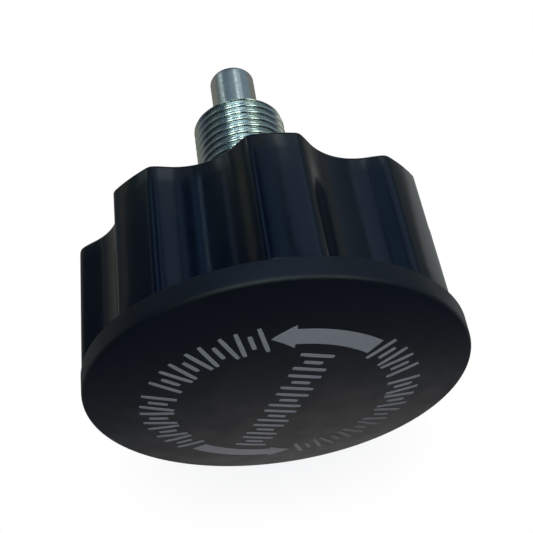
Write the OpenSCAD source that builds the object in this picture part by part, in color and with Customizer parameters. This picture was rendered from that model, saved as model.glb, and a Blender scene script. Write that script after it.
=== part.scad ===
// Pull-pin adjusting knob: a sprung plunger pin in a threaded barrel, drawn back by a lobed knob.
// Millimetres. The pin's axis is Y and the nose points to +Y, with +Z up.
// The origin is on that axis, at the barrel's hex shoulder where the thread starts.

/* [Knob] */
// Radius over the grip lobes
lobe_r = 28.8; // [27.6:0.1:28.85]
// Number of scallops around the grip
lobe_count = 8; // [6:1:10]
// Depth of a scallop below the lobes
scallop_depth = 3.7; // [2.4:0.1:3.8]
// Radius of the round hollow of a scallop
scallop_r = 10.0; // [9:0.1:11]
// Rounding where a scallop meets a lobe
lobe_blend = 1.8; // [1:0.1:2.2]
// Turn of the first scallop from +X towards +Z, in degrees
lobe_turn = 17.8; // [0:0.1:45]
// Length of the lobed body along the axis
grip_len = 21.8; // [20.5:0.1:22]
// Moulded wall thickness of the body
wall_t = 2.4; // [2:0.1:2.6]
// Thickness of the body's front wall
front_t = 2.6; // [2.4:0.1:3.2]
// Number of ribs between hub and wall
rib_count = 8; // [4:1:10]
// Thickness of a rib
rib_t = 1.6; // [1.2:0.1:2]

/* [Cap] */
// Radius of the cap's round flange
cap_r = 28.9; // [28.9:0.05:29.3]
// Thickness of the flange at its rim
flange_t = 3.3; // [3:0.1:3.6]
// Height of the crowned face above the rim
dome_h = 3.5; // [3:0.1:4]
// Rounding of the rim
rim_round = 0.8; // [0.5:0.1:1.2]
// Thickness of the crowned plate
cap_plate_t = 2.4; // [2:0.1:2.6]
// Length of the snap skirt inside the body
skirt_len = 4.0; // [3:0.5:4.5]

/* [Print] */
// Mean radius of the ring of printed marks
print_r = 18.2; // [17.5:0.1:18.5]
// Thickness of the ink
ink_t = 0.05; // [0.04:0.01:0.08]
// Width of a printed line
line_w = 0.65; // [0.5:0.05:0.8]
// Length of a long mark
mark_long = 5.0; // [4:0.1:5.2]
// Length of a short mark
mark_short = 2.8; // [2:0.1:3.2]
// Width of an arrow's band
arrow_w = 3.0; // [2.6:0.1:3.2]
// Width of an arrow's head
arrow_head_w = 4.6; // [4.2:0.1:5]

/* [Barrel] */
// Outside diameter of the barrel's thread
thread_d = 16.0; // [15.9:0.1:16]
// Thread pitch
thread_pitch = 1.5; // [1.5:0.5:2]
// Length of the threaded barrel in front of its hex shoulder
barrel_len = 26.5; // [26:0.1:27]
// Chamfer at the barrel's front end
barrel_chamfer = 0.8; // [0.6:0.1:1]
// Size of the hex head across its flats
hex_af = 19.0; // [18.8:0.1:19]
// Length of the hex head
hex_len = 16.0; // [15.5:0.1:16]
// Radius of the spring chamber
chamber_r = 5.5; // [5.4:0.05:5.6]
// Length of the pin's guide bore
guide_len = 6.9; // [6.5:0.1:7.3]

/* [Plunger pin] */
// Diameter of the pin's nose
pin_d = 8.0; // [7.9:0.05:8]
// How far the nose stands out of the barrel
pin_out = 11.5; // [11:0.1:12]
// Rounding of the pin's tip
tip_round = 0.95; // [0.5:0.05:1.2]
// Diameter of the rear shank
shank_d = 6.0; // [5.8:0.1:6]
// Radius of the stop collar
collar_r = 5.3; // [5.1:0.05:5.3]
// Thickness of the stop collar
collar_t = 3.0; // [2.5:0.1:3.5]

/* [Spring] */
// Diameter of the spring wire
wire_d = 1.0; // [0.8:0.05:1.05]
// Mean radius of the coils
coil_r = 4.3; // [4.25:0.05:4.35]
// Open coils between the two closed ends
coils = 9; // [8:1:10]

/* [Hidden] */
$fn = 96;
dome_fn = 720;
ink_fn = 360;
eps = 0.01;
// How far a cutter runs past the face that it opens
past = 1.0;

// Stations along the axis, from the nose back to the cap
barrel_end_y = barrel_len;
pin_tip_y = barrel_end_y + pin_out;
step_y = barrel_end_y - guide_len;
stop_gap = 0.05;
collar_front_y = step_y - stop_gap;
collar_rear_y = collar_front_y - collar_t;
shoulder_proud = 0.7;
knob_front_y = -shoulder_proud;
floor_y = knob_front_y - front_t;
hex_rear_y = -hex_len;
pocket_gap = 0.5;
pocket_end_y = hex_rear_y - pocket_gap;
tail_seat = 0.9;
pin_tail_y = pocket_end_y - tail_seat;
web_t = 3.2;
web_rear_y = pocket_end_y - web_t;
parting_y = knob_front_y - grip_len;
rim_y = parting_y - flange_t;

// Fits
hex_gap = 0.3;
guide_gap = 0.05;
shank_gap = 0.08;
skirt_gap = 0.35;
retainer_gap = 0.1;
spring_gap = 0.05;
screw_thread_gap = 0.02;

// Knob and cap
scallop_centre = lobe_r - scallop_depth + scallop_r;
outline_steps = 216;
hub_r = 14.0;
cavity_r = lobe_r - scallop_depth - wall_t;
rib_clear = 2.0;
rib_rear_y = parting_y + skirt_len + rib_clear;
dome_r = (cap_r * cap_r + dome_h * dome_h) / (2 * dome_h);
dome_centre_y = rim_y - dome_h + dome_r;
rim_centre_r = cap_r - rim_round;
rim_centre_y = dome_centre_y
    - sqrt(pow(dome_r - rim_round, 2) - pow(rim_centre_r, 2));
dome_edge_r = rim_centre_r * dome_r / (dome_r - rim_round);
skirt_r = cavity_r - skirt_gap;
skirt_t = 1.6;
bead_h = 0.25;
skirt_end_y = parting_y + skirt_len;
// How far the snap bead's foot, top and other foot lie from the skirt's end
bead_back = [1.6, 1.1, 0.3];
front_recess_in_r = 15.0;
front_recess_out_r = 21.5;
front_recess_depth = 1.0;

// Print: each mark is a long, a short and a long line, side by side
mark_pitch = 1.6;
mark_step = 15.2;
side_marks = 8;
group_gap = 5;
right_start = 36;
left_start = 103;
scale_right_marks = [for (i = [0 : side_marks - 1])
    right_start - i * mark_step - (i < 2 ? 0 : group_gap)];
scale_left_marks = [for (i = [0 : side_marks - 1])
    left_start + i * mark_step + (i < 4 ? 0 : group_gap)];
centre_marks = 6;
centre_pitch = 5.0;
centre_turn = 70.3;
arrow_tail = 45;
arrow_neck = 84.5;
arrow_tip = 95;

// Thread
thread_r = thread_d / 2;
// Depth of an external metric thread as a share of its pitch
depth_share = 0.6134;
thread_depth = depth_share * thread_pitch;
crest_w = thread_pitch / 8;
root_w = thread_pitch / 4;
flank_w = (thread_pitch - crest_w - root_w) / 2;

// Rear end of the barrel: the retainer washer and the ring that holds it
seat_r = 6.5;
retainer_t = 1.5;
ring_t = 1.0;
ring_groove_t = 1.1;
ring_groove_r = 6.8;
ring_r = 6.75;
ring_band = 1.3;
ring_lug_r = 1.25;
ring_eye_r = 0.55;
ring_gap_angle = 50;
ring_lug_turn = 4;
ring_lug_inset = 0.35;
seat_depth = 4.0;
seat_y = hex_rear_y + seat_depth;
retainer_rear_y = seat_y - retainer_t;

// Screw, washers and insert
screw_r = 2.0;
screw_hole_r = 2.15;
screw_len = 12.0;
head_r = 4.0;
head_h = 2.8;
flat_t = 0.8;
flat_r = 4.5;
lock_t = 0.9;
lock_r = 3.8;
insert_r = 5.5;
insert_groove = 0.4;
flat_y = web_rear_y - flat_t;
lock_y = flat_y - lock_t;
head_y = lock_y - head_h;

// Spring
spring_front_y = collar_rear_y - spring_gap;
spring_rear_y = seat_y + spring_gap;
spring_rise = spring_front_y - spring_rear_y - wire_d;
closed_coil_pitch = 1.05;
end_rise = wire_d * closed_coil_pitch;
open_rise = (spring_rise - 2 * end_rise) / coils;
ring_sides = 8;
coil_steps = 18;

plastic = "#1d2025";
cap_plastic = "#26282c";
ink = "#9a9ca2";
zinc = "#b9bec2";
steel = "#8f9396";
brass = "#b5975a";

// ---- helpers ----

// A round bar on the axis between two stations
module rod(r, y0, y1) {
    translate([0, y1, 0]) rotate([90, 0, 0]) cylinder(r = r, h = y1 - y0);
}

// A flat outline, x to the right and z up, extruded between two stations
module prism(y0, y1) {
    translate([0, y1, 0]) rotate([90, 0, 0]) linear_extrude(y1 - y0) children();
}

// A profile of radius and station, turned about the axis
module revolve() {
    rotate([-90, 0, 0]) rotate_extrude() children();
}

// A six-sided bar on the axis, sized across its flats
module hex_bar(af, y0, y1) {
    translate([0, y1, 0]) rotate([90, 0, 0])
        cylinder(r = af / sqrt(3), h = y1 - y0, $fn = 6);
}

// Angle from the middle of the nearest scallop
function from_scallop(a) =
    let (step = 360 / lobe_count, t = a - lobe_turn + step / 2)
    t - step * floor(t / step) - step / 2;

// Radius of a bare scallop at that angle, or the lobe radius beyond it
function scallop_at(b) =
    abs(scallop_centre * sin(b)) < scallop_r
    ? scallop_centre * cos(b) - sqrt(pow(scallop_r, 2) - pow(scallop_centre * sin(b), 2))
    : 2 * lobe_r;

// The smaller of two radii, blended over a width of k
function blend_min(a, b, k) =
    let (h = min(1, max(0, 0.5 + 0.5 * (b - a) / k)))
    a * h + b * (1 - h) - k * h * (1 - h);

function lobe_at(a) = blend_min(lobe_r, scallop_at(from_scallop(a)), lobe_blend);

// The grip's outline, drawn in by an inset
module lobed(inset) {
    polygon([for (i = [0 : outline_steps - 1])
        let (a = i * 360 / outline_steps, r = lobe_at(a) - inset)
        [r * cos(a), r * sin(a)]]);
}

// A right-hand half of a disc whose middle is on the axis, as a profile
module half_disc(r, y) {
    intersection() {
        translate([0, y]) circle(r = r, $fn = dome_fn);
        translate([0, y - r - past]) square([r + past, 2 * (r + past)]);
    }
}

// A thin layer of ink on the crowned face, in the shape of a flat outline
module ink_layer() {
    color(ink) intersection() {
        prism(rim_y - dome_h - past, rim_y) children();
        difference() {
            translate([0, dome_centre_y, 0]) sphere(r = dome_r + ink_t, $fn = ink_fn);
            translate([0, dome_centre_y, 0]) sphere(r = dome_r, $fn = ink_fn);
        }
    }
}

// One printed mark at the origin: long, short, long
module mark() {
    for (side = [-1, 0, 1])
        translate([side * mark_pitch, 0])
            square([line_w, side == 0 ? mark_short : mark_long], center = true);
}

// Marks round the print's ring, each pointing to the middle
module mark_ring(angles) {
    for (a = angles)
        rotate(a) translate([print_r, 0]) rotate(-90) mark();
}

// A curved arrow whose head leads anticlockwise
module arrow() {
    arc_steps = 12;
    half = arrow_w / 2;
    head = arrow_head_w / 2;
    arc = [for (i = [0 : arc_steps]) arrow_tail + (arrow_neck - arrow_tail) * i / arc_steps];
    function at(r, a) = [r * cos(a), r * sin(a)];
    polygon(concat(
        [for (i = [0 : arc_steps]) at(print_r + half, arc[i])],
        [at(print_r + head, arrow_neck), at(print_r, arrow_tip), at(print_r - head, arrow_neck)],
        [for (i = [arc_steps : -1 : 0]) at(print_r - half, arc[i])]));
}

// ---- knob ----

module knob_body() {
    color(plastic) difference() {
        union() {
            difference() {
                prism(parting_y, knob_front_y) lobed(0);
                prism(parting_y - past, floor_y) lobed(wall_t);
            }
            rod(hub_r, web_rear_y, floor_y + past);
            for (i = [0 : rib_count - 1])
                rotate([0, -lobe_turn - i * 360 / rib_count, 0])
                    translate([hub_r - past, rib_rear_y, -rib_t / 2])
                        cube([cavity_r - hub_r + 2 * past, floor_y - rib_rear_y + past, rib_t]);
        }
        hex_bar(hex_af + hex_gap, pocket_end_y, knob_front_y + past);
        rod(shank_d / 2 + shank_gap, pin_tail_y, pocket_end_y + past);
        rod(insert_r, web_rear_y - past, pin_tail_y);
        difference() {
            rod(front_recess_out_r, knob_front_y - front_recess_depth, knob_front_y + past);
            rod(front_recess_in_r, knob_front_y - front_recess_depth - past,
                knob_front_y + 2 * past);
        }
    }
}

module knob_cap() {
    color(cap_plastic) revolve() {
        difference() {
            union() {
                intersection() {
                    half_disc(dome_r, dome_centre_y);
                    translate([0, rim_y - dome_h - past])
                        square([dome_edge_r, dome_h + flange_t + past]);
                }
                translate([0, rim_centre_y]) square([cap_r, parting_y - rim_centre_y]);
                translate([rim_centre_r, rim_centre_y]) circle(r = rim_round);
                translate([0, parting_y - eps]) square([skirt_r, skirt_len + eps]);
                polygon([[skirt_r - eps, skirt_end_y - bead_back[0]],
                         [skirt_r + bead_h, skirt_end_y - bead_back[1]],
                         [skirt_r - eps, skirt_end_y - bead_back[2]]]);
            }
            intersection() {
                half_disc(dome_r - cap_plate_t, dome_centre_y);
                translate([0, rim_y - dome_h - past])
                    square([skirt_r - skirt_t, dome_h + flange_t + skirt_len + 2 * past]);
            }
        }
    }
}

module print_arrows() {
    ink_layer() for (turn = [0, 180]) rotate(turn) arrow();
}

module print_scale_right() {
    ink_layer() mark_ring(scale_right_marks);
}

module print_scale_left() {
    ink_layer() mark_ring(scale_left_marks);
}

module print_scale_centre() {
    ink_layer() rotate(centre_turn)
        for (i = [0 : centre_marks - 1])
            translate([(i - (centre_marks - 1) / 2) * centre_pitch, 0]) mark();
}

// ---- fixing of the knob to the pin ----

module hub_insert() {
    mid_y = (web_rear_y + pin_tail_y) / 2;
    color(brass) revolve()
        polygon([[screw_hole_r, web_rear_y], [insert_r, web_rear_y],
                 [insert_r, mid_y - insert_groove], [insert_r - insert_groove, mid_y],
                 [insert_r, mid_y + insert_groove], [insert_r, pin_tail_y],
                 [screw_hole_r, pin_tail_y]]);
}

module flat_washer() {
    color(zinc) difference() {
        rod(flat_r, flat_y, web_rear_y);
        rod(screw_hole_r, flat_y - past, web_rear_y + past);
    }
}

module lock_washer() {
    slit = 0.7;
    color(steel) difference() {
        rod(lock_r, lock_y, flat_y);
        rod(screw_hole_r, lock_y - past, flat_y + past);
        translate([0, lock_y - past, -slit / 2])
            cube([lock_r + past, lock_t + 2 * past, slit]);
    }
}

module pin_screw() {
    recess_w = 1.0;
    recess_len = 4.0;
    recess_depth = 1.6;
    edge = 0.6;
    color(zinc) difference() {
        union() {
            rod(screw_r, lock_y - eps, lock_y + screw_len);
            revolve() polygon([[0, head_y], [head_r - edge, head_y],
                               [head_r, head_y + edge], [head_r, lock_y], [0, lock_y]]);
        }
        for (turn = [0, 90])
            rotate([0, turn, 0])
                translate([-recess_len / 2, head_y - past, -recess_w / 2])
                    cube([recess_len, recess_depth + past, recess_w]);
    }
}

// ---- plunger pin ----

module plunger_pin() {
    nose_r = pin_d / 2;
    groove_depth = 0.3;
    groove_r = nose_r - groove_depth;
    groove_w = 0.8;
    spare_depth = 1.0;
    tapped_depth = lock_y + screw_len - pin_tail_y + spare_depth;
    tail_chamfer = 0.4;
    color(zinc) difference() {
        revolve() union() {
            polygon([[0, pin_tail_y], [shank_d / 2 - tail_chamfer, pin_tail_y],
                     [shank_d / 2, pin_tail_y + tail_chamfer], [shank_d / 2, collar_rear_y],
                     [collar_r, collar_rear_y], [collar_r, collar_front_y],
                     [nose_r, collar_front_y], [nose_r, barrel_end_y - groove_w],
                     [groove_r, barrel_end_y - groove_w], [groove_r, barrel_end_y],
                     [nose_r, barrel_end_y], [nose_r, pin_tip_y - tip_round],
                     [nose_r - tip_round, pin_tip_y - tip_round],
                     [nose_r - tip_round, pin_tip_y], [0, pin_tip_y]]);
            translate([nose_r - tip_round, pin_tip_y - tip_round]) circle(r = tip_round);
        }
        rod(screw_r + screw_thread_gap, pin_tail_y - past, pin_tail_y + tapped_depth);
    }
}

// ---- barrel ----

// Crests and grooves of the thread, from the shoulder to the front end
module thread_profile() {
    turns = ceil(barrel_len / thread_pitch);
    intersection() {
        polygon(concat([[0, 0]],
            [for (i = [0 : turns - 1], k = [0 : 3])
                let (y = i * thread_pitch,
                     dy = [0, crest_w, crest_w + flank_w, crest_w + flank_w + root_w][k])
                [k < 2 ? thread_r : thread_r - thread_depth, y + dy]],
            [[thread_r, turns * thread_pitch], [0, turns * thread_pitch]]));
        polygon([[0, 0], [thread_r, 0], [thread_r, barrel_end_y - barrel_chamfer],
                 [thread_r - barrel_chamfer, barrel_end_y], [0, barrel_end_y]]);
    }
}

module threaded_barrel() {
    corner_r = hex_af / sqrt(3);
    corner_cut = 0.7;
    color(zinc) difference() {
        union() {
            intersection() {
                hex_bar(hex_af, hex_rear_y, 0);
                revolve() polygon([[0, hex_rear_y], [corner_r - 2 * corner_cut, hex_rear_y],
                                   [corner_r, hex_rear_y + corner_cut],
                                   [corner_r, -corner_cut],
                                   [corner_r - 2 * corner_cut, 0], [0, 0]]);
            }
            revolve() thread_profile();
        }
        rod(pin_d / 2 + guide_gap, step_y - past, barrel_end_y + past);
        rod(chamber_r, seat_y - past, step_y);
        rod(seat_r, hex_rear_y - past, seat_y);
        rod(ring_groove_r, retainer_rear_y - ring_groove_t, retainer_rear_y);
    }
}

module spring_retainer() {
    color(steel) difference() {
        rod(seat_r - retainer_gap, retainer_rear_y, seat_y);
        rod(shank_d / 2 + shank_gap, retainer_rear_y - past, seat_y + past);
    }
}

module retaining_ring() {
    ring_rear_y = retainer_rear_y - ring_t;
    lug_r = ring_r - ring_lug_r - ring_lug_inset;
    color(steel) prism(ring_rear_y, retainer_rear_y) difference() {
        union() {
            difference() {
                circle(r = ring_r);
                circle(r = ring_r - ring_band);
                polygon([[0, 0], for (a = [-1, -0.5, 0, 0.5, 1])
                    [2 * ring_r * cos(a * ring_gap_angle / 2),
                     2 * ring_r * sin(a * ring_gap_angle / 2)]]);
            }
            for (side = [-1, 1])
                rotate(side * (ring_gap_angle / 2 + ring_lug_turn)) translate([lug_r, 0])
                    circle(r = ring_lug_r);
        }
        for (side = [-1, 1])
            rotate(side * (ring_gap_angle / 2 + ring_lug_turn)) translate([lug_r, 0])
                circle(r = ring_eye_r);
    }
}

// ---- spring ----

// Station of the wire's middle after a number of turns
function coil_y(t) =
    spring_rear_y + wire_d / 2
    + end_rise * (min(t, 1) + max(0, t - coils - 1))
    + open_rise * min(max(0, t - 1), coils);

module return_spring() {
    rings = (coils + 2) * coil_steps;
    wire_r = wire_d / 2;
    points = [for (i = [0 : rings], j = [0 : ring_sides - 1])
        let (a = i * 360 / coil_steps, b = j * 360 / ring_sides,
             r = coil_r + wire_r * cos(b), y = coil_y(i / coil_steps) + wire_r * sin(b))
        [r * cos(a), y, r * sin(a)]];
    sides = [for (i = [0 : rings - 1], j = [0 : ring_sides - 1])
        let (k = (j + 1) % ring_sides)
        [i * ring_sides + j, i * ring_sides + k, (i + 1) * ring_sides + k, (i + 1) * ring_sides + j]];
    first = [for (j = [ring_sides - 1 : -1 : 0]) j];
    last = [for (j = [0 : ring_sides - 1]) rings * ring_sides + j];
    color(steel) polyhedron(points, concat([first], sides, [last]), convexity = 10);
}

knob_body();
knob_cap();
print_arrows();
print_scale_right();
print_scale_left();
print_scale_centre();
hub_insert();
flat_washer();
lock_washer();
pin_screw();
plunger_pin();
threaded_barrel();
spring_retainer();
retaining_ring();
return_spring();
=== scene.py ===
"""Looks for the pull-pin adjusting knob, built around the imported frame.

The pin's axis is Y with the nose towards +Y, and the crowned cap faces -Y. Lengths are in
millimetres in this script and become metres where a mesh is made.
"""

import math
import random

import bmesh
import bpy
from mathutils import Matrix, Vector


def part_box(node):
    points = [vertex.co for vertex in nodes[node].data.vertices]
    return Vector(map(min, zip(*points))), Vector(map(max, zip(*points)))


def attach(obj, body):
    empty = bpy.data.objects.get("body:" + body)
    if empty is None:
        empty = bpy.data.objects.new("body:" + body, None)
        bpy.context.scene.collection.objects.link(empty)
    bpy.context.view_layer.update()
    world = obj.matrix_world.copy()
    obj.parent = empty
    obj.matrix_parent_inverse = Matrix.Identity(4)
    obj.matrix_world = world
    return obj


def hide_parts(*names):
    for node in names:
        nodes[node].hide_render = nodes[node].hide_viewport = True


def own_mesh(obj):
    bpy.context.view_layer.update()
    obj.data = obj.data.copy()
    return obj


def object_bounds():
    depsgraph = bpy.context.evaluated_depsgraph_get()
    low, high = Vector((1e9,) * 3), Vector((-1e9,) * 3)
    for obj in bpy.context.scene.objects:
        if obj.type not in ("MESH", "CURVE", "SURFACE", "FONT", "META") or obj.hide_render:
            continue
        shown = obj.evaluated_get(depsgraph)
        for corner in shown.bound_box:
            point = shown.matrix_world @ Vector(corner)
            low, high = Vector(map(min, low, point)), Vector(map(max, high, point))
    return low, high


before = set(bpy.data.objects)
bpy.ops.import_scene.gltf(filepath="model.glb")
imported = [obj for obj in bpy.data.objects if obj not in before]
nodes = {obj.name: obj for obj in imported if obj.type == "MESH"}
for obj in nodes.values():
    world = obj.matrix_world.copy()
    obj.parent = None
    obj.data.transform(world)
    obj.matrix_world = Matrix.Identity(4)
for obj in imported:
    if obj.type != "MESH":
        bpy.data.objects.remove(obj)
cad_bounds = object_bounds()
MM = 0.001


def box_mm(node):
    """Lowest and highest corner of a CAD node, in millimetres."""
    low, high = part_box(node)
    return Vector(low) / MM, Vector(high) / MM


# ---- stations and radii taken from the frame ----
body_low, body_high = box_mm("knob_body")
cap_low, cap_high = box_mm("knob_cap")
barrel_low, barrel_high = box_mm("threaded_barrel")
pin_low, pin_high = box_mm("plunger_pin")
spring_low, spring_high = box_mm("return_spring")
parting_y, front_y = body_low.y, body_high.y
apex_y, cap_r = cap_low.y, cap_high.x
hex_rear_y, barrel_end_y = barrel_low.y, barrel_high.y
pin_tail_y, pin_tip_y = pin_low.y, pin_high.y

# ---- driving dimensions of the shapes, as designed ----
LOBES = 8
LOBE_R = 28.8
SCALLOP_DEPTH = 3.7
SCALLOP_R = 10.0
LOBE_BLEND = 1.8
LOBE_TURN = 17.8
DRAFT = 0.35
DOME_H = 3.5
THREAD_R = 8.0
PITCH = 1.5
HEX_AF = 19.0
POCKET_AF = 19.3
POCKET_GAP = 0.5
PIN_R = 4.0
SHANK_R = 3.0

dome_r = (cap_r ** 2 + DOME_H ** 2) / (2 * DOME_H)
dome_centre_y = apex_y + dome_r
rng = random.Random(8)


# ---- outlines ----
def lobe_radius(angle):
    """Radius of the grip's outline at an angle in degrees from +X towards +Z."""
    step = 360 / LOBES
    b = math.radians((angle - LOBE_TURN + step / 2) % step - step / 2)
    centre = LOBE_R - SCALLOP_DEPTH + SCALLOP_R
    reach = centre * math.sin(b)
    if abs(reach) >= SCALLOP_R:
        return LOBE_R
    scallop = centre * math.cos(b) - math.sqrt(SCALLOP_R ** 2 - reach ** 2)
    h = min(1, max(0, 0.5 + 0.5 * (LOBE_R - scallop) / LOBE_BLEND))
    return scallop * h + LOBE_R * (1 - h) - LOBE_BLEND * h * (1 - h)


def hex_radius(angle, apothem):
    """Radius of a hexagon with a corner on +X, sized by its apothem."""
    return apothem / math.cos(math.radians(angle % 60 - 30))


def rounded(points, steps=5):
    """A polyline of (u, v, rounding) with each corner replaced by a true arc."""
    line = []
    for i, (u, v, r) in enumerate(points):
        p = Vector((u, v))
        if r == 0 or i in (0, len(points) - 1):
            line.append((u, v))
            continue
        before = (Vector(points[i - 1][:2]) - p).normalized()
        after = (Vector(points[i + 1][:2]) - p).normalized()
        half = before.angle(after) / 2
        back = r / math.tan(half)
        centre = p + (before + after).normalized() * (r / math.sin(half))
        start, end = p + before * back - centre, p + after * back - centre
        sweep = start.angle_signed(end)
        for k in range(steps + 1):
            turn = -sweep * k / steps
            c, s = math.cos(turn), math.sin(turn)
            q = centre + Vector((start.x * c - start.y * s, start.x * s + start.y * c))
            line.append((q.x, q.y))
    return line


def ring(radius_at, y, columns):
    """One row of points round the axis; radius_at gives the radius at each angle."""
    row = []
    for j in range(columns):
        angle = 360 * j / columns
        r = radius_at(angle)
        row.append((r * math.cos(math.radians(angle)), y, r * math.sin(math.radians(angle))))
    return row


def hex_ring(apothem, y, columns):
    """One row of points round a hexagon."""
    return ring(lambda a: hex_radius(a, apothem), y, columns)


def circle_rows(line, columns):
    """Rows for a line of (radius, station) turned about the axis; radius 0 gives a single point."""
    return [[(0, y, 0)] if r <= 0 else ring(lambda a, r=r: r, y, columns) for r, y in line]


# ---- meshes ----
def loft(rows):
    """Points and faces of a surface through rows; a row of one point closes the surface."""
    verts, faces, starts = [], [], []
    for row in rows:
        starts.append(len(verts))
        verts += row
    for a, b, first, second in zip(rows, rows[1:], starts, starts[1:]):
        count = max(len(a), len(b))
        for j in range(count):
            k = (j + 1) % count
            corners = [first + (j if len(a) > 1 else 0), first + (k if len(a) > 1 else 0),
                       second + (k if len(b) > 1 else 0), second + (j if len(b) > 1 else 0)]
            faces.append(list(dict.fromkeys(corners)))
    return verts, faces


def piece(name, verts, faces, body, replaced, slot, material, sharp=32):
    """A mesh piece in the row frame that rides on a body and stands for its CAD nodes."""
    mesh = bpy.data.meshes.new(name)
    mesh.from_pydata([(x * MM, y * MM, z * MM) for x, y, z in verts], [], faces)
    bm = bmesh.new()
    bm.from_mesh(mesh)
    bmesh.ops.remove_doubles(bm, verts=bm.verts, dist=0.002 * MM)
    bmesh.ops.dissolve_degenerate(bm, edges=bm.edges, dist=0.001 * MM)
    bmesh.ops.recalc_face_normals(bm, faces=bm.faces)
    bm.to_mesh(mesh)
    bm.free()
    mesh.polygons.foreach_set("use_smooth", [True] * len(mesh.polygons))
    mesh.set_sharp_from_angle(angle=math.radians(sharp))
    mesh.materials.append(material)
    obj = bpy.data.objects.new(name, mesh)
    bpy.context.scene.collection.objects.link(obj)
    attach(obj, body)
    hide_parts(*replaced)
    return obj


# ---- materials ----
class Nodes:
    """A short way to build one node material."""

    def __init__(self, name):
        self.material = bpy.data.materials.new(name)
        self.material.use_nodes = True
        self.tree = self.material.node_tree
        self.shader = self.tree.nodes["Principled BSDF"]

    def add(self, kind, **settings):
        node = self.tree.nodes.new(kind)
        for key, value in settings.items():
            setattr(node, key, value)
        return node

    def link(self, source, target):
        self.tree.links.new(source, target)

    def place(self, stretch=(1, 1, 1)):
        coords = self.add("ShaderNodeTexCoord")
        mapping = self.add("ShaderNodeMapping")
        mapping.inputs["Scale"].default_value = stretch
        self.link(coords.outputs["Object"], mapping.inputs["Vector"])
        return mapping.outputs["Vector"]

    def noise(self, scale, detail=3, stretch=(1, 1, 1)):
        node = self.add("ShaderNodeTexNoise")
        node.inputs["Scale"].default_value = scale
        node.inputs["Detail"].default_value = detail
        self.link(self.place(stretch), node.inputs["Vector"])
        return node.outputs["Fac"]

    def spread(self, value, low, high, near=0.3, far=0.7):
        node = self.add("ShaderNodeMapRange")
        ends = {"From Min": near, "From Max": far, "To Min": low, "To Max": high}
        for socket, number in ends.items():
            node.inputs[socket].default_value = number
        self.link(value, node.inputs["Value"])
        return node.outputs["Result"]

    def tint(self, value, first, second):
        node = self.add("ShaderNodeMix", data_type="RGBA")
        node.inputs["A"].default_value = (*first, 1)
        node.inputs["B"].default_value = (*second, 1)
        self.link(value, node.inputs["Factor"])
        return node.outputs["Result"]

    def blend(self, value, under, over):
        """A fixed colour laid over a linked one."""
        node = self.add("ShaderNodeMix", data_type="RGBA")
        node.inputs["B"].default_value = (*over, 1)
        self.link(under, node.inputs["A"])
        self.link(value, node.inputs["Factor"])
        return node.outputs["Result"]

    def bump(self, height, strength, depth, onto=None):
        node = self.add("ShaderNodeBump")
        node.inputs["Strength"].default_value = strength
        node.inputs["Distance"].default_value = depth
        self.link(height, node.inputs["Height"])
        if onto is not None:
            self.link(onto, node.inputs["Normal"])
        return node.outputs["Normal"]


def plastic(name, dark, light, rough, grain, grain_depth, level, drag=0.0):
    """Black moulded plastic: colour drift, uneven gloss, a fine mould texture and drag marks."""
    n = Nodes(name)
    drift = n.spread(n.noise(90), 0, 1)
    n.link(n.tint(drift, dark, light), n.shader.inputs["Base Color"])
    n.link(n.spread(n.noise(260, 5), rough[0], rough[1]), n.shader.inputs["Roughness"])
    coarse = n.bump(n.noise(130, 2), 0.25, 0.00006)
    marks = n.bump(n.noise(700, 3, (1, 0.02, 1)), 0.5, drag, coarse)
    n.link(n.bump(n.noise(grain, 4), 0.5, grain_depth, marks), n.shader.inputs["Normal"])
    n.shader.inputs["Specular IOR Level"].default_value = level
    return n.material


def metal(name, first, second, rough, stretch, mark_scale, mark_depth):
    """Plated or bare steel: a slight change of tint, uneven gloss and tool marks."""
    n = Nodes(name)
    n.shader.inputs["Metallic"].default_value = 1.0
    n.link(n.tint(n.spread(n.noise(420, 4), 0, 1), first, second), n.shader.inputs["Base Color"])
    n.link(n.spread(n.noise(900, 5), rough[0], rough[1]), n.shader.inputs["Roughness"])
    waves = n.bump(n.noise(500, 2), 0.35, 0.00001)
    marks = n.noise(mark_scale, 3, stretch)
    n.link(n.bump(marks, 0.4, mark_depth, waves), n.shader.inputs["Normal"])
    return n.material


# the ink turns darker towards this place at the lower right of the face: fully within the first
# distance, not at all past the second
INK_DARKER_PLACE = (0.012, -0.028, -0.016)
INK_DARKER_FULL = 0.004
INK_DARKER_GONE = 0.016


def ink():
    """Pad-printed ink: slightly uneven cover over the plastic, darker towards a place at the lower
    right.
    """
    n = Nodes("pad_print_ink")
    cover = n.spread(n.noise(1500, 4), 0, 1, 0.2, 0.8)
    base_ink = n.tint(cover, (0.48, 0.42, 0.46), (0.56, 0.49, 0.53))
    # the ink turns darker towards a place at the lower right of the face
    away = n.add("ShaderNodeVectorMath", operation="DISTANCE")
    away.inputs[1].default_value = INK_DARKER_PLACE
    n.link(n.place(), away.inputs[0])
    darker_share = n.spread(away.outputs["Value"], 0.7, 0, INK_DARKER_FULL, INK_DARKER_GONE)
    n.link(n.blend(darker_share, base_ink, (0.14, 0.13, 0.14)), n.shader.inputs["Base Color"])
    n.link(n.spread(n.noise(2600, 3), 0.5, 0.72), n.shader.inputs["Roughness"])
    n.link(n.bump(n.noise(3800, 3), 0.3, 0.00001), n.shader.inputs["Normal"])
    n.shader.inputs["Specular IOR Level"].default_value = 0.3
    return n.material


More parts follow.
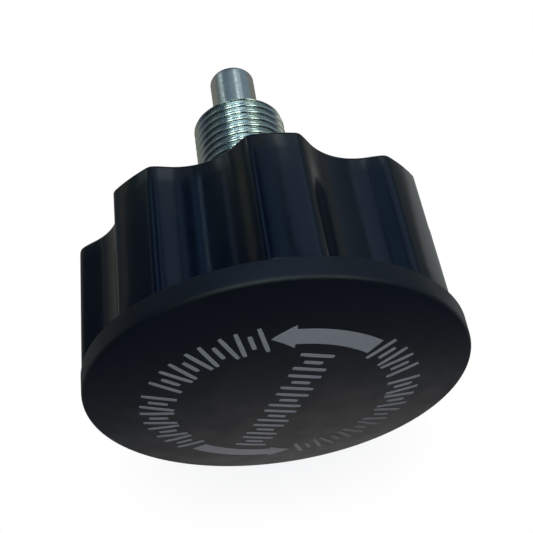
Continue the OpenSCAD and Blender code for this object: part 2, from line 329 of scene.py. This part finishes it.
GRIP = plastic("moulded_black_plastic", (0.0018, 0.0032, 0.0075), (0.003, 0.0048, 0.0095),
               (0.11, 0.18), 2600, 0.000003, 0.5, drag=0.00002)
CAP = plastic("matt_black_plastic", (0.003, 0.0042, 0.009), (0.0045, 0.0058, 0.0115),
              (0.42, 0.52), 3400, 0.000012, 0.5)
INK = ink()
ZINC = metal("zinc_plate", (0.76, 0.82, 0.72), (0.88, 0.93, 0.84), (0.16, 0.26),
             (1, 1, 1), 1200, 0.000002)
PIN = metal("turned_zinc_plate", (0.74, 0.75, 0.71), (0.9, 0.89, 0.84), (0.16, 0.3),
            (0.12, 1, 0.12), 1000, 0.000002)
STEEL = metal("spring_steel", (0.34, 0.35, 0.36), (0.44, 0.45, 0.46), (0.25, 0.4),
              (1, 0.2, 1), 2500, 0.000006)
BRASS = metal("turned_brass", (0.62, 0.44, 0.19), (0.72, 0.54, 0.26), (0.25, 0.38),
              (1, 0.15, 1), 2300, 0.000006)

# ---- grip ----
GRIP_COLUMNS = 384
REAR_RINGS = (8, 16)
REAR_FLAT_INSET, FRONT_FLAT_INSET = 6, 3
REAR_INSET = 0.04
REAR_ROUND, FRONT_ROUND, ROUND_STEPS = 0.1, 0.75, 7
WALL_ROWS = 8
FACE_OUT, FACE_IN = 22.0, 13.2
RECESS_OUT, RECESS_IN, RECESS_DEPTH = 21.5, 15.0, 1.0
RECESS_SLOPE, RECESS_ROUND = 0.2, 0.3
POCKET_CHAMFER = 0.4
SHANK_HOLE_R = SHANK_R + 0.08
SHANK_HOLE_DEPTH = 0.9


def grip_rows():
    """Rows from the middle of the rear face, over the lobed wall, and down into the hex pocket."""
    def lobed(inset, y):
        return ring(lambda a: lobe_radius(a) - inset, y, GRIP_COLUMNS)

    # a wall point starts with its inset from the lobed outline, a face point with its radius
    recess_y = front_y - RECESS_DEPTH
    wall = rounded([(REAR_FLAT_INSET, parting_y, 0),
                    (REAR_INSET, parting_y, REAR_ROUND),
                    (DRAFT, front_y, FRONT_ROUND),
                    (FRONT_FLAT_INSET, front_y, 0)], ROUND_STEPS)
    face = rounded([(FACE_OUT, front_y, 0),
                    (RECESS_OUT, front_y, RECESS_ROUND),
                    (RECESS_OUT - RECESS_SLOPE, recess_y, RECESS_ROUND),
                    (RECESS_IN + RECESS_SLOPE, recess_y, RECESS_ROUND),
                    (RECESS_IN, front_y, RECESS_ROUND),
                    (FACE_IN, front_y, 0)])
    rows = circle_rows([(r, parting_y) for r in (0, *REAR_RINGS)], GRIP_COLUMNS)

    # the long drafted wall gets rows of its own between its two roundings
    rear_end = ROUND_STEPS + 1
    rows += [lobed(*p) for p in wall[:rear_end + 1]]
    start, end = Vector(wall[rear_end]), Vector(wall[rear_end + 1])
    rows += [lobed(*start.lerp(end, t / WALL_ROWS)) for t in range(1, WALL_ROWS)]
    rows += [lobed(*p) for p in wall[rear_end + 1:]]

    rows += circle_rows(face, GRIP_COLUMNS)
    pocket_y = hex_rear_y - POCKET_GAP
    hole_y = pocket_y - SHANK_HOLE_DEPTH
    rows += [hex_ring(POCKET_AF / 2 + POCKET_CHAMFER, front_y, GRIP_COLUMNS),
             hex_ring(POCKET_AF / 2, front_y - POCKET_CHAMFER, GRIP_COLUMNS),
             hex_ring(POCKET_AF / 2, pocket_y, GRIP_COLUMNS)]
    hole = [(SHANK_HOLE_R, pocket_y), (SHANK_HOLE_R, hole_y), (0, hole_y)]
    return rows + circle_rows(hole, GRIP_COLUMNS)


piece("grip", *loft(grip_rows()), "knob", ["knob_body"], "moulded_black", GRIP)


# ---- cap ----
def dome_y(r, above=0.0):
    """Station of the crowned face at a radius, raised by a height above it."""
    return dome_centre_y - math.sqrt((dome_r + above) ** 2 - r ** 2)


CAP_COLUMNS = 288
DOME_ROWS = 24
DOME_ROWS_R = 27.6
RIM_ROUND, PARTING_ROUND, RIM_STEPS = 0.8, 0.12, 8
BACK_RINGS = (27, 15)


def cap_rows():
    """Rows from the dome's apex over the rim to the flat face against the grip."""
    dome = []
    for i in range(DOME_ROWS + 1):
        r = i * DOME_ROWS_R / DOME_ROWS
        dome.append((r, dome_y(r), 0))
    edge = [(cap_r, dome_y(cap_r), RIM_ROUND), (cap_r, parting_y, PARTING_ROUND)]
    back = [(r, parting_y, 0) for r in (*BACK_RINGS, 0)]
    return circle_rows(rounded(dome + edge + back, RIM_STEPS), CAP_COLUMNS)


piece("cap", *loft(cap_rows()), "knob", ["knob_cap"], "cap_black", CAP)

# ---- print on the cap ----
PRINT_R = 18.2
INK_T = 0.05
INK_SUNK = 0.04
LINE_W = 0.65
LINE_ROWS = 6
LINE_END_TAPER = 0.8
LINE_UNEVEN = 0.012
MARK_LONG, MARK_SHORT, MARK_PITCH, MARK_STEP = 5.0, 2.8, 1.6, 15.2
ARROW_W, ARROW_HEAD_W = 3.0, 4.6
ARROW_TAIL, ARROW_NECK, ARROW_TIP = 45, 84.5, 95
NECK_STEP = 0.25
BAND_ROWS, HEAD_ROWS = 24, 8
RING_MARKS = 8
RIGHT_START, RIGHT_SHIFT_FROM = 36, 2
LEFT_START, LEFT_SHIFT_FROM = 103, 4
GROUP_SHIFT = 5
CENTRE_MARKS, CENTRE_PITCH, CENTRE_TURN = 6, 5.0, 70.3


def turned(x, z, angle):
    """A point of the face turned about the axis by an angle in degrees."""
    c, s = math.cos(math.radians(angle)), math.sin(math.radians(angle))
    return x * c - z * s, x * s + z * c


def ink_solid(bm, grid):
    """Adds a thin solid of ink that follows the crowned face, from a grid of (x, z) points."""
    top = [[bm.verts.new((x * MM, dome_y(math.hypot(x, z), INK_T) * MM, z * MM)) for x, z in row]
           for row in grid]
    made = []
    for a, b in zip(top, top[1:]):
        for j in range(len(a) - 1):
            made.append(bm.faces.new((a[j], a[j + 1], b[j + 1], b[j])))
    verts = [v for row in top for v in row]
    bmesh.ops.remove_doubles(bm, verts=verts, dist=0.001 * MM)
    made = [f for f in made if f.is_valid]
    result = bmesh.ops.extrude_face_region(bm, geom=made)
    moved = [v for v in result["geom"] if isinstance(v, bmesh.types.BMVert)]
    bmesh.ops.translate(bm, verts=moved, vec=(0, (INK_T + INK_SUNK) * MM, 0))


def mark_grids(place):
    """The long, short and long line of one mark; place maps its own x and z to the face."""
    grids = []
    for side in (-1, 0, 1):
        length = MARK_SHORT if side == 0 else MARK_LONG
        grid = []
        for i in range(LINE_ROWS + 1):
            z = (i / LINE_ROWS - 0.5) * length
            taper = LINE_END_TAPER if i in (0, LINE_ROWS) else 1
            half = LINE_W / 2 * taper + rng.uniform(-LINE_UNEVEN, LINE_UNEVEN)
            grid.append([place(side * MARK_PITCH + w * half, z) for w in (-1, 0, 1)])
        grids.append(grid)
    return grids


def ring_mark(angle):
    """A mark on the printed ring, with its lines pointing at the middle."""
    def place(x, z):
        u, v = turned(x, z, -90)
        return turned(u + PRINT_R, v, angle)
    return mark_grids(place)


def centre_mark(index):
    """One of the marks on the slanted line through the middle."""
    offset = (index - (CENTRE_MARKS - 1) / 2) * CENTRE_PITCH
    return mark_grids(lambda x, z: turned(x + offset, z, CENTRE_TURN))


def arrow_grid(turn):
    """A curved arrow whose head leads anticlockwise, as rows across its band."""
    half, head = ARROW_W / 2, ARROW_HEAD_W / 2
    band = [-half, -half, -half / 2, 0, half / 2, half, half]
    wide = [-head, -half, -half / 2, 0, half / 2, half, head]
    rows = []
    for i in range(BAND_ROWS + 1):
        rows.append((ARROW_TAIL + (ARROW_NECK - NECK_STEP - ARROW_TAIL) * i / BAND_ROWS, band))
    for i in range(HEAD_ROWS + 1):
        narrowing = 1 - i / HEAD_ROWS
        angle = ARROW_NECK + (ARROW_TIP - ARROW_NECK) * i / HEAD_ROWS
        rows.append((angle, [w * narrowing for w in wide]))
    return [[turned(PRINT_R + w, 0, angle + turn) for w in offsets] for angle, offsets in rows]


def print_piece(name, grids, node):
    """One piece of ink made of a thin solid for each grid."""
    bm = bmesh.new()
    for grid in grids:
        ink_solid(bm, grid)
    bmesh.ops.recalc_face_normals(bm, faces=bm.faces)
    verts = [tuple(v.co / MM) for v in bm.verts]
    bm.verts.index_update()
    faces = [[v.index for v in f.verts] for f in bm.faces]
    bm.free()
    piece(name, verts, faces, "knob", [node], "grey_ink", INK)


print_piece("ink_arrows", [arrow_grid(0), arrow_grid(180)], "print_arrows")
right_marks, left_marks, centre_marks = [], [], []
for i in range(RING_MARKS):
    shift = GROUP_SHIFT if i >= RIGHT_SHIFT_FROM else 0
    right_marks += ring_mark(RIGHT_START - shift - i * MARK_STEP)
for i in range(RING_MARKS):
    shift = GROUP_SHIFT if i >= LEFT_SHIFT_FROM else 0
    left_marks += ring_mark(LEFT_START + shift + i * MARK_STEP)
for i in range(CENTRE_MARKS):
    centre_marks += centre_mark(i)
print_piece("ink_scale_right", right_marks, "print_scale_right")
print_piece("ink_scale_left", left_marks, "print_scale_left")
print_piece("ink_scale_centre", centre_marks, "print_scale_centre")

# ---- plunger pin ----
GUIDE_LEN = 6.9
STEP_Y = barrel_end_y - GUIDE_LEN
COLLAR_GAP, COLLAR_LEN, COLLAR_R = 0.05, 3.0, 5.3
COLLAR_FRONT_Y = STEP_Y - COLLAR_GAP
COLLAR_REAR_Y = COLLAR_FRONT_Y - COLLAR_LEN
TAPPED_R, TAPPED_DEPTH = 2.02, 9.9
GROOVE_LEN, GROOVE_DEPTH, GROOVE_SLOPE = 0.8, 0.3, 0.1
NOSE_ROUND, NOSE_FLAT_R = 0.95, 1.6
NOSE_ROWS = (3, 6, 9)
PIN_COLUMNS = 128
PIN_STEPS = 8


def pin_rows():
    """Rows from the tapped tail over the collar, the groove at the barrel's end and the nose."""
    tapped_y = pin_tail_y + TAPPED_DEPTH
    groove_r = PIN_R - GROOVE_DEPTH
    line = [
        (0, tapped_y, 0),
        (TAPPED_R, tapped_y, 0),
        (TAPPED_R, pin_tail_y, 0.1),
        (SHANK_R, pin_tail_y, 0.35),
        (SHANK_R, COLLAR_REAR_Y, 0.15),
        (COLLAR_R, COLLAR_REAR_Y, 0.3),
        (COLLAR_R, COLLAR_FRONT_Y, 0.3),
        (PIN_R, COLLAR_FRONT_Y, 0.1),
        (PIN_R, barrel_end_y - GROOVE_LEN, 0.05),
        (groove_r, barrel_end_y - GROOVE_LEN + GROOVE_SLOPE, 0),
        (groove_r, barrel_end_y - GROOVE_SLOPE, 0),
        (PIN_R, barrel_end_y, 0.05)]
    line += [(PIN_R, barrel_end_y + step, 0) for step in NOSE_ROWS]
    line += [
        (PIN_R, pin_tip_y, NOSE_ROUND),
        (NOSE_FLAT_R, pin_tip_y, 0),
        (0, pin_tip_y, 0)]
    return circle_rows(rounded(line, PIN_STEPS), PIN_COLUMNS)


piece("pin", *loft(pin_rows()), "knob", ["plunger_pin"], "zinc_steel_pin", PIN)

# ---- threaded barrel ----
THREAD_COLUMNS = 144
THREAD_SAMPLES = 16
END_R = 7.15
CREST_ROUND = 0.36
ROOT_ROUND = 0.18
THREAD_PHASE = 0.48
FLANK_ANGLE = 60
HEX_EASE = 0.05
HEX_CHAMFER = 0.7
QUARTERS = (0.25, 0.5, 0.75)
REAR_FACE_R, END_FACE_R = 8.2, 5.6
BORE_R, SPRING_BORE_R, GUIDE_R = 6.5, 5.5, 4.05
RING_GROOVE_R, RING_GROOVE_W = 6.8, 1.1
RETAINER_SEAT, RING_FRONT = 4.0, 2.5


def thread_depth_at(share):
    """Depth below the crest at a share of one pitch from a crest's middle: two arcs and a flank."""
    u = abs((share + 0.5) % 1 - 0.5) * PITCH
    turn = math.radians(FLANK_ANGLE)
    crest_w, root_w = CREST_ROUND * math.sin(turn), ROOT_ROUND * math.sin(turn)
    crest_drop = CREST_ROUND * (1 - math.cos(turn))
    flank_drop = (PITCH / 2 - crest_w - root_w) * math.tan(turn)
    total = crest_drop + flank_drop + ROOT_ROUND * (1 - math.cos(turn))
    if u < crest_w:
        return CREST_ROUND - math.sqrt(CREST_ROUND ** 2 - u ** 2)
    if u < PITCH / 2 - root_w:
        return crest_drop + (u - crest_w) * math.tan(turn)
    v = PITCH / 2 - u
    return total - ROOT_ROUND + math.sqrt(ROOT_ROUND ** 2 - v ** 2)


def thread_radius(angle, y):
    """Radius of the right-hand helix, narrowed to the chamfer at the barrel's end."""
    cut = THREAD_R - thread_depth_at(y / PITCH + angle / 360 + THREAD_PHASE)
    return min(cut, END_R + max(0, barrel_end_y - y))


def barrel_mesh():
    """One closed surface: a right-hand helix outside, the hex head, and the stepped bore."""
    verts, faces = [], []

    # helical rows, clamped to the shoulder and the end face
    rows = (math.ceil(barrel_end_y / PITCH) + 1) * THREAD_SAMPLES
    for k in range(-THREAD_SAMPLES, rows + THREAD_SAMPLES):
        for j in range(THREAD_COLUMNS):
            angle = 360 * j / THREAD_COLUMNS
            y = PITCH * (k / THREAD_SAMPLES - j / THREAD_COLUMNS)
            y = min(barrel_end_y, max(0, y))
            r = thread_radius(angle, y)
            verts.append((r * math.cos(math.radians(angle)), y, r * math.sin(math.radians(angle))))

    def at(k, j):
        if j == THREAD_COLUMNS:
            k, j = k - THREAD_SAMPLES, 0
        return (k + THREAD_SAMPLES) * THREAD_COLUMNS + j

    for k in range(0, rows + THREAD_SAMPLES - 1):
        for j in range(THREAD_COLUMNS):
            faces.append((at(k, j), at(k, j + 1), at(k + 1, j + 1), at(k + 1, j)))

    # everything else as rows, from the thread's start round the hex and through the bore
    def cut_hex(limit, y):
        return ring(lambda a: min(limit, hex_radius(a, HEX_AF / 2)), y, THREAD_COLUMNS)

    # both end faces of the hex head are round, and a curved chamfer widens them to its corners
    flat = HEX_AF / 2 + HEX_EASE
    spread = HEX_AF / math.sqrt(3) - HEX_AF / 2
    head = [cut_hex(flat, 0)]
    for t in (*QUARTERS, 1):
        head.append(cut_hex(flat + spread * t, -HEX_CHAMFER * t * t))
    for share in QUARTERS:
        head.append(hex_ring(HEX_AF / 2, hex_rear_y * share, THREAD_COLUMNS))
    for t in (1, *reversed(QUARTERS), 0):
        head.append(cut_hex(flat + spread * t, hex_rear_y + HEX_CHAMFER * t * t))

    # the bore, with the seat of the spring retainer and the groove of the retaining ring
    seat_y = hex_rear_y + RETAINER_SEAT
    groove_end_y = hex_rear_y + RING_FRONT
    groove_y = groove_end_y - RING_GROOVE_W
    bore = rounded([(REAR_FACE_R, hex_rear_y, 0),
                    (BORE_R, hex_rear_y, 0.25),
                    (BORE_R, groove_y, 0),
                    (RING_GROOVE_R, groove_y, 0),
                    (RING_GROOVE_R, groove_end_y, 0),
                    (BORE_R, groove_end_y, 0),
                    (BORE_R, seat_y, 0),
                    (SPRING_BORE_R, seat_y, 0.1),
                    (SPRING_BORE_R, STEP_Y, 0.2),
                    (GUIDE_R, STEP_Y, 0.1),
                    (GUIDE_R, barrel_end_y, 0.3),
                    (END_FACE_R, barrel_end_y, 0),
                    (END_R, barrel_end_y, 0)])
    first = [ring(lambda a: thread_radius(a, 0), 0, THREAD_COLUMNS)]
    more_verts, more_faces = loft(first + head + circle_rows(bore, THREAD_COLUMNS))
    offset = len(verts)
    return verts + more_verts, faces + [[offset + i for i in f] for f in more_faces]


piece("barrel", *barrel_mesh(), "barrel", ["threaded_barrel"], "zinc_steel", ZINC, sharp=40)

# ---- return spring ----
WIRE_R = 0.5
COIL_R = 4.3
OPEN_COILS = 9
CLOSED_PITCH = 2 * WIRE_R * 1.05
COIL_STEPS, WIRE_SIDES = 36, 12


def spring_mesh():
    """A coiled wire with two closed end turns whose faces are ground flat."""
    low, high = spring_low.y, spring_high.y
    open_pitch = (high - low - 2 * WIRE_R - 2 * CLOSED_PITCH) / OPEN_COILS
    rows = []
    for i in range((OPEN_COILS + 2) * COIL_STEPS + 1):
        turns = i / COIL_STEPS
        closed = min(turns, 1) + max(0, turns - OPEN_COILS - 1)
        opened = min(max(0, turns - 1), OPEN_COILS)
        y = low + WIRE_R + CLOSED_PITCH * closed + open_pitch * opened
        a = 2 * math.pi * turns
        row = []
        for j in range(WIRE_SIDES):
            b = 2 * math.pi * j / WIRE_SIDES
            r = COIL_R + WIRE_R * math.cos(b)
            h = min(high, max(low, y + WIRE_R * math.sin(b)))
            row.append((r * math.cos(a), h, r * math.sin(a)))
        rows.append(row)
    verts, faces = loft(rows)
    count = len(rows[0])
    faces += [list(range(count)), list(range(len(verts) - count, len(verts)))]
    return verts, faces


spring = piece("spring", *spring_mesh(), "barrel", ["return_spring"], "spring_steel", STEEL)
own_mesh(spring)

# ---- CAD nodes that stay as they are ----
KEPT_NODES = {"hub_insert": BRASS, "flat_washer": ZINC, "lock_washer": STEEL,
              "pin_screw": ZINC, "spring_retainer": STEEL, "retaining_ring": STEEL}
for node, material in KEPT_NODES.items():
    nodes[node].data.materials.clear()
    nodes[node].data.materials.append(material)


# ---- stage ----
FLOOR_HALF = 3.0
FLOOR_GAP = 0.0001
FLOOR_Y = -0.012
# reach of the painted contact shadow on the floor around the object
CONTACT_SHADOW_REACH = 0.012
# painted light in the floor's glow that reflections see: two painted pools of light and two painted
# patches of shade, each with its centre, the radius it is full to, the radius it fades out at, and
# its colour
FLOOR_GLOW_PATCHES = (((0.008, -0.012), 0.012, 0.052, (0.4, 0.39, 0.38)),
                 ((0.11, 0.032), 0.05, 0.065, (0.4, 0.43, 0.43)),
                 ((-0.3, 0.17), 0.12, 0.18, (0.095, 0.125, 0.145)),
                 ((0.25, 0.14), 0.08, 0.12, (0.11, 0.14, 0.16)))


def floor_material():
    """A pale floor for the camera with a painted contact shadow; in reflections a dim table that
    glows, with painted shade in front and painted pools of light and shade.
    """
    n = Nodes("pale_floor")
    n.tree.nodes.remove(n.shader)
    coords = n.add("ShaderNodeTexCoord").outputs["Object"]

    def patch(centre, full, gone):
        """1 up to one distance from a place on the floor, falling to 0 at another."""
        away = n.add("ShaderNodeVectorMath", operation="DISTANCE")
        away.inputs[1].default_value = (*centre, 0)
        n.link(coords, away.inputs[0])
        return n.spread(away.outputs["Value"], 1, 0, full, gone)

    split = n.add("ShaderNodeSeparateXYZ")
    n.link(coords, split.inputs[0])
    depth = n.spread(split.outputs["Y"], 0, 1, -0.05, 0.02)
    # painted light: the glow that reflections see is darker in front and lighter behind, and the
    # painted pools of light and shade are laid over it
    shade = n.tint(depth, (0.035, 0.05, 0.09), (0.17, 0.175, 0.165))
    for centre, full, gone, colour in FLOOR_GLOW_PATCHES:
        shade = n.blend(patch(centre, full, gone), shade, colour)
    glow = n.add("ShaderNodeEmission")
    n.link(shade, glow.inputs["Color"])
    # painted shadow: the camera sees the floor as an even glow, darkened by ambient occlusion near
    # the object
    painted_contact_shadow = n.add("ShaderNodeAmbientOcclusion", samples=8)
    painted_contact_shadow.inputs["Distance"].default_value = CONTACT_SHADOW_REACH
    seen = n.add("ShaderNodeEmission")
    n.link(n.tint(painted_contact_shadow.outputs["AO"], (0.84, 0.85, 0.87), (1, 1, 1)), seen.inputs["Color"])
    rays = n.add("ShaderNodeLightPath")
    mix = n.add("ShaderNodeMixShader")
    n.link(rays.outputs["Is Camera Ray"], mix.inputs["Fac"])
    n.link(glow.outputs["Emission"], mix.inputs[1])
    n.link(seen.outputs["Emission"], mix.inputs[2])
    n.link(mix.outputs["Shader"], n.tree.nodes["Material Output"].inputs["Surface"])
    return n.material


def add_floor():
    """A flat square just under the object, which only the pictures have."""
    half = FLOOR_HALF
    mesh = bpy.data.meshes.new("floor")
    mesh.from_pydata([(-half, -half, 0), (half, -half, 0), (half, half, 0), (-half, half, 0)],
                     [], [(0, 1, 2, 3)])
    mesh.materials.append(floor_material())
    floor = bpy.data.objects.new("floor", mesh)
    floor.location = (0, FLOOR_Y, cad_bounds[0][2] - FLOOR_GAP)
    bpy.context.scene.collection.objects.link(floor)


def add_world():
    """White behind the object for the camera; for the rest a dim room, lighter at the right."""
    world = bpy.data.worlds.new("studio")
    bpy.context.scene.world = world
    world.use_nodes = True
    tree = world.node_tree
    coords = tree.nodes.new("ShaderNodeTexCoord")
    split = tree.nodes.new("ShaderNodeSeparateXYZ")
    tree.links.new(coords.outputs["Generated"], split.inputs[0])

    def fade(source, start, end, first, second):
        """A colour that turns from first to second as a direction's part goes from start to end."""
        share = tree.nodes.new("ShaderNodeMapRange")
        share.inputs["From Min"].default_value = start
        share.inputs["From Max"].default_value = end
        tree.links.new(split.outputs[source], share.inputs["Value"])
        room = tree.nodes.new("ShaderNodeMix")
        room.data_type = "RGBA"
        for name, colour in (("A", first), ("B", second)):
            if isinstance(colour, tuple):
                room.inputs[name].default_value = (*colour, 1)
            else:
                tree.links.new(colour, room.inputs[name])
        tree.links.new(share.outputs["Result"], room.inputs["Factor"])
        return room.outputs["Result"]

    left = fade("X", -0.75, -0.5, (0.05, 0.07, 0.1), (0.02, 0.045, 0.12))
    sides = fade("X", 0.0, 0.5, left, (0.15, 0.21, 0.265))
    room = fade("Y", -0.55, -0.1, (0.018, 0.022, 0.028), sides)
    dim = tree.nodes["Background"]
    white = tree.nodes.new("ShaderNodeBackground")
    white.inputs["Color"].default_value = (1, 1, 1, 1)
    rays = tree.nodes.new("ShaderNodeLightPath")
    mix = tree.nodes.new("ShaderNodeMixShader")
    tree.links.new(room, dim.inputs["Color"])
    tree.links.new(rays.outputs["Is Camera Ray"], mix.inputs["Fac"])
    tree.links.new(dim.outputs["Background"], mix.inputs[1])
    tree.links.new(white.outputs["Background"], mix.inputs[2])
    tree.links.new(mix.outputs["Shader"], tree.nodes["World Output"].inputs["Surface"])


LIGHT_DISTANCE = 0.6


def softbox(name, turn, lean, width, length, glow):
    """An area light given by angles: its turn about Y from straight up towards +X, its lean towards
    +Y, and the width and length that it spans as seen from the object. Its glow is a radiance."""
    a, b = math.radians(turn), math.radians(lean)
    across = Vector((math.cos(a), 0, -math.sin(a)))
    along = Vector((-math.sin(b) * math.sin(a), math.cos(b), -math.sin(b) * math.cos(a)))
    way = across.cross(along)
    light = bpy.data.lights.new(name, "AREA")
    light.shape = "RECTANGLE"
    light.size = 2 * LIGHT_DISTANCE * math.tan(math.radians(width / 2)) * math.cos(b)
    light.size_y = 2 * LIGHT_DISTANCE * math.tan(math.radians(length / 2))
    light.energy = max(glow) * math.pi * light.size * light.size_y
    light.color = [c / max(glow) for c in glow]
    obj = bpy.data.objects.new(name, light)
    obj.matrix_world = Matrix((across, along, way)).transposed().to_4x4()
    obj.location = way * LIGHT_DISTANCE
    obj.visible_camera = False
    bpy.context.scene.collection.objects.link(obj)


add_floor()
add_world()
# reflected in the grip and the flange
softbox("sky_right", 30, 32, 26, 18, (0.13, 0.2, 0.34))
softbox("sky_middle", 9, 32, 8, 18, (0.08, 0.16, 0.29))
softbox("sky_left", -14, 32, 9, 18, (0.08, 0.18, 0.33))
softbox("sky_strip", -23, 32, 5, 18, (0.35, 0.55, 0.75))
softbox("side_strip", -63, 32, 8, 18, (0.09, 0.13, 0.2))
# reflected in the flange alone, which is rough enough to spread it
softbox("sky_near", 0, 12, 36, 18, (0.65, 0.85, 1.25))
# reflected in the pin
softbox("pin_right", 38, 48, 14, 14, (0.25, 0.28, 0.25))
softbox("pin_bright", 21, 48, 22, 14, (0.24, 0.31, 0.3))
softbox("pin_line", 20, 48, 7, 14, (0.6, 0.68, 0.72))
softbox("pin_middle", -3, 48, 28, 14, (0.18, 0.22, 0.17))
softbox("pin_left", -36, 48, 36, 14, (0.11, 0.13, 0.09))
softbox("pin_side", -66, 48, 28, 14, (0.22, 0.27, 0.25))
softbox("pin_streak", -60, 48, 8, 10, (0.4, 0.48, 0.52))
# reflected in the thread's crests
softbox("window_left", -18, -26, 8, 50, (3.0, 3.9, 3.7))
softbox("window_mid", 2, -26, 8, 50, (3.3, 4.2, 4.0))
softbox("window_right", 37, -26, 13, 40, (2.2, 2.7, 2.6))
# reflected in the left side of the thread
softbox("thread_left", -70, 42, 80, 8, (0.03, 0.05, 0.015))


CAMERA_PLACE = Vector((-10.5, -90.4, 127.8)) * MM
CAMERA_TARGET = Vector((0.1, -10.7, 9.8)) * MM
LENS = 64.8
SENSOR = 36


def add_camera():
    """The camera at the photograph's place, level with the world."""
    camera = bpy.data.cameras.new("camera")
    camera.lens = LENS
    camera.sensor_width = SENSOR
    camera.clip_start = 0.005
    obj = bpy.data.objects.new("camera", camera)
    obj.location = CAMERA_PLACE
    obj.rotation_euler = (CAMERA_TARGET - CAMERA_PLACE).to_track_quat("-Z", "Y").to_euler()
    bpy.context.scene.collection.objects.link(obj)
    bpy.context.scene.camera = obj


add_camera()
bpy.context.scene.view_settings.view_transform = "Standard"
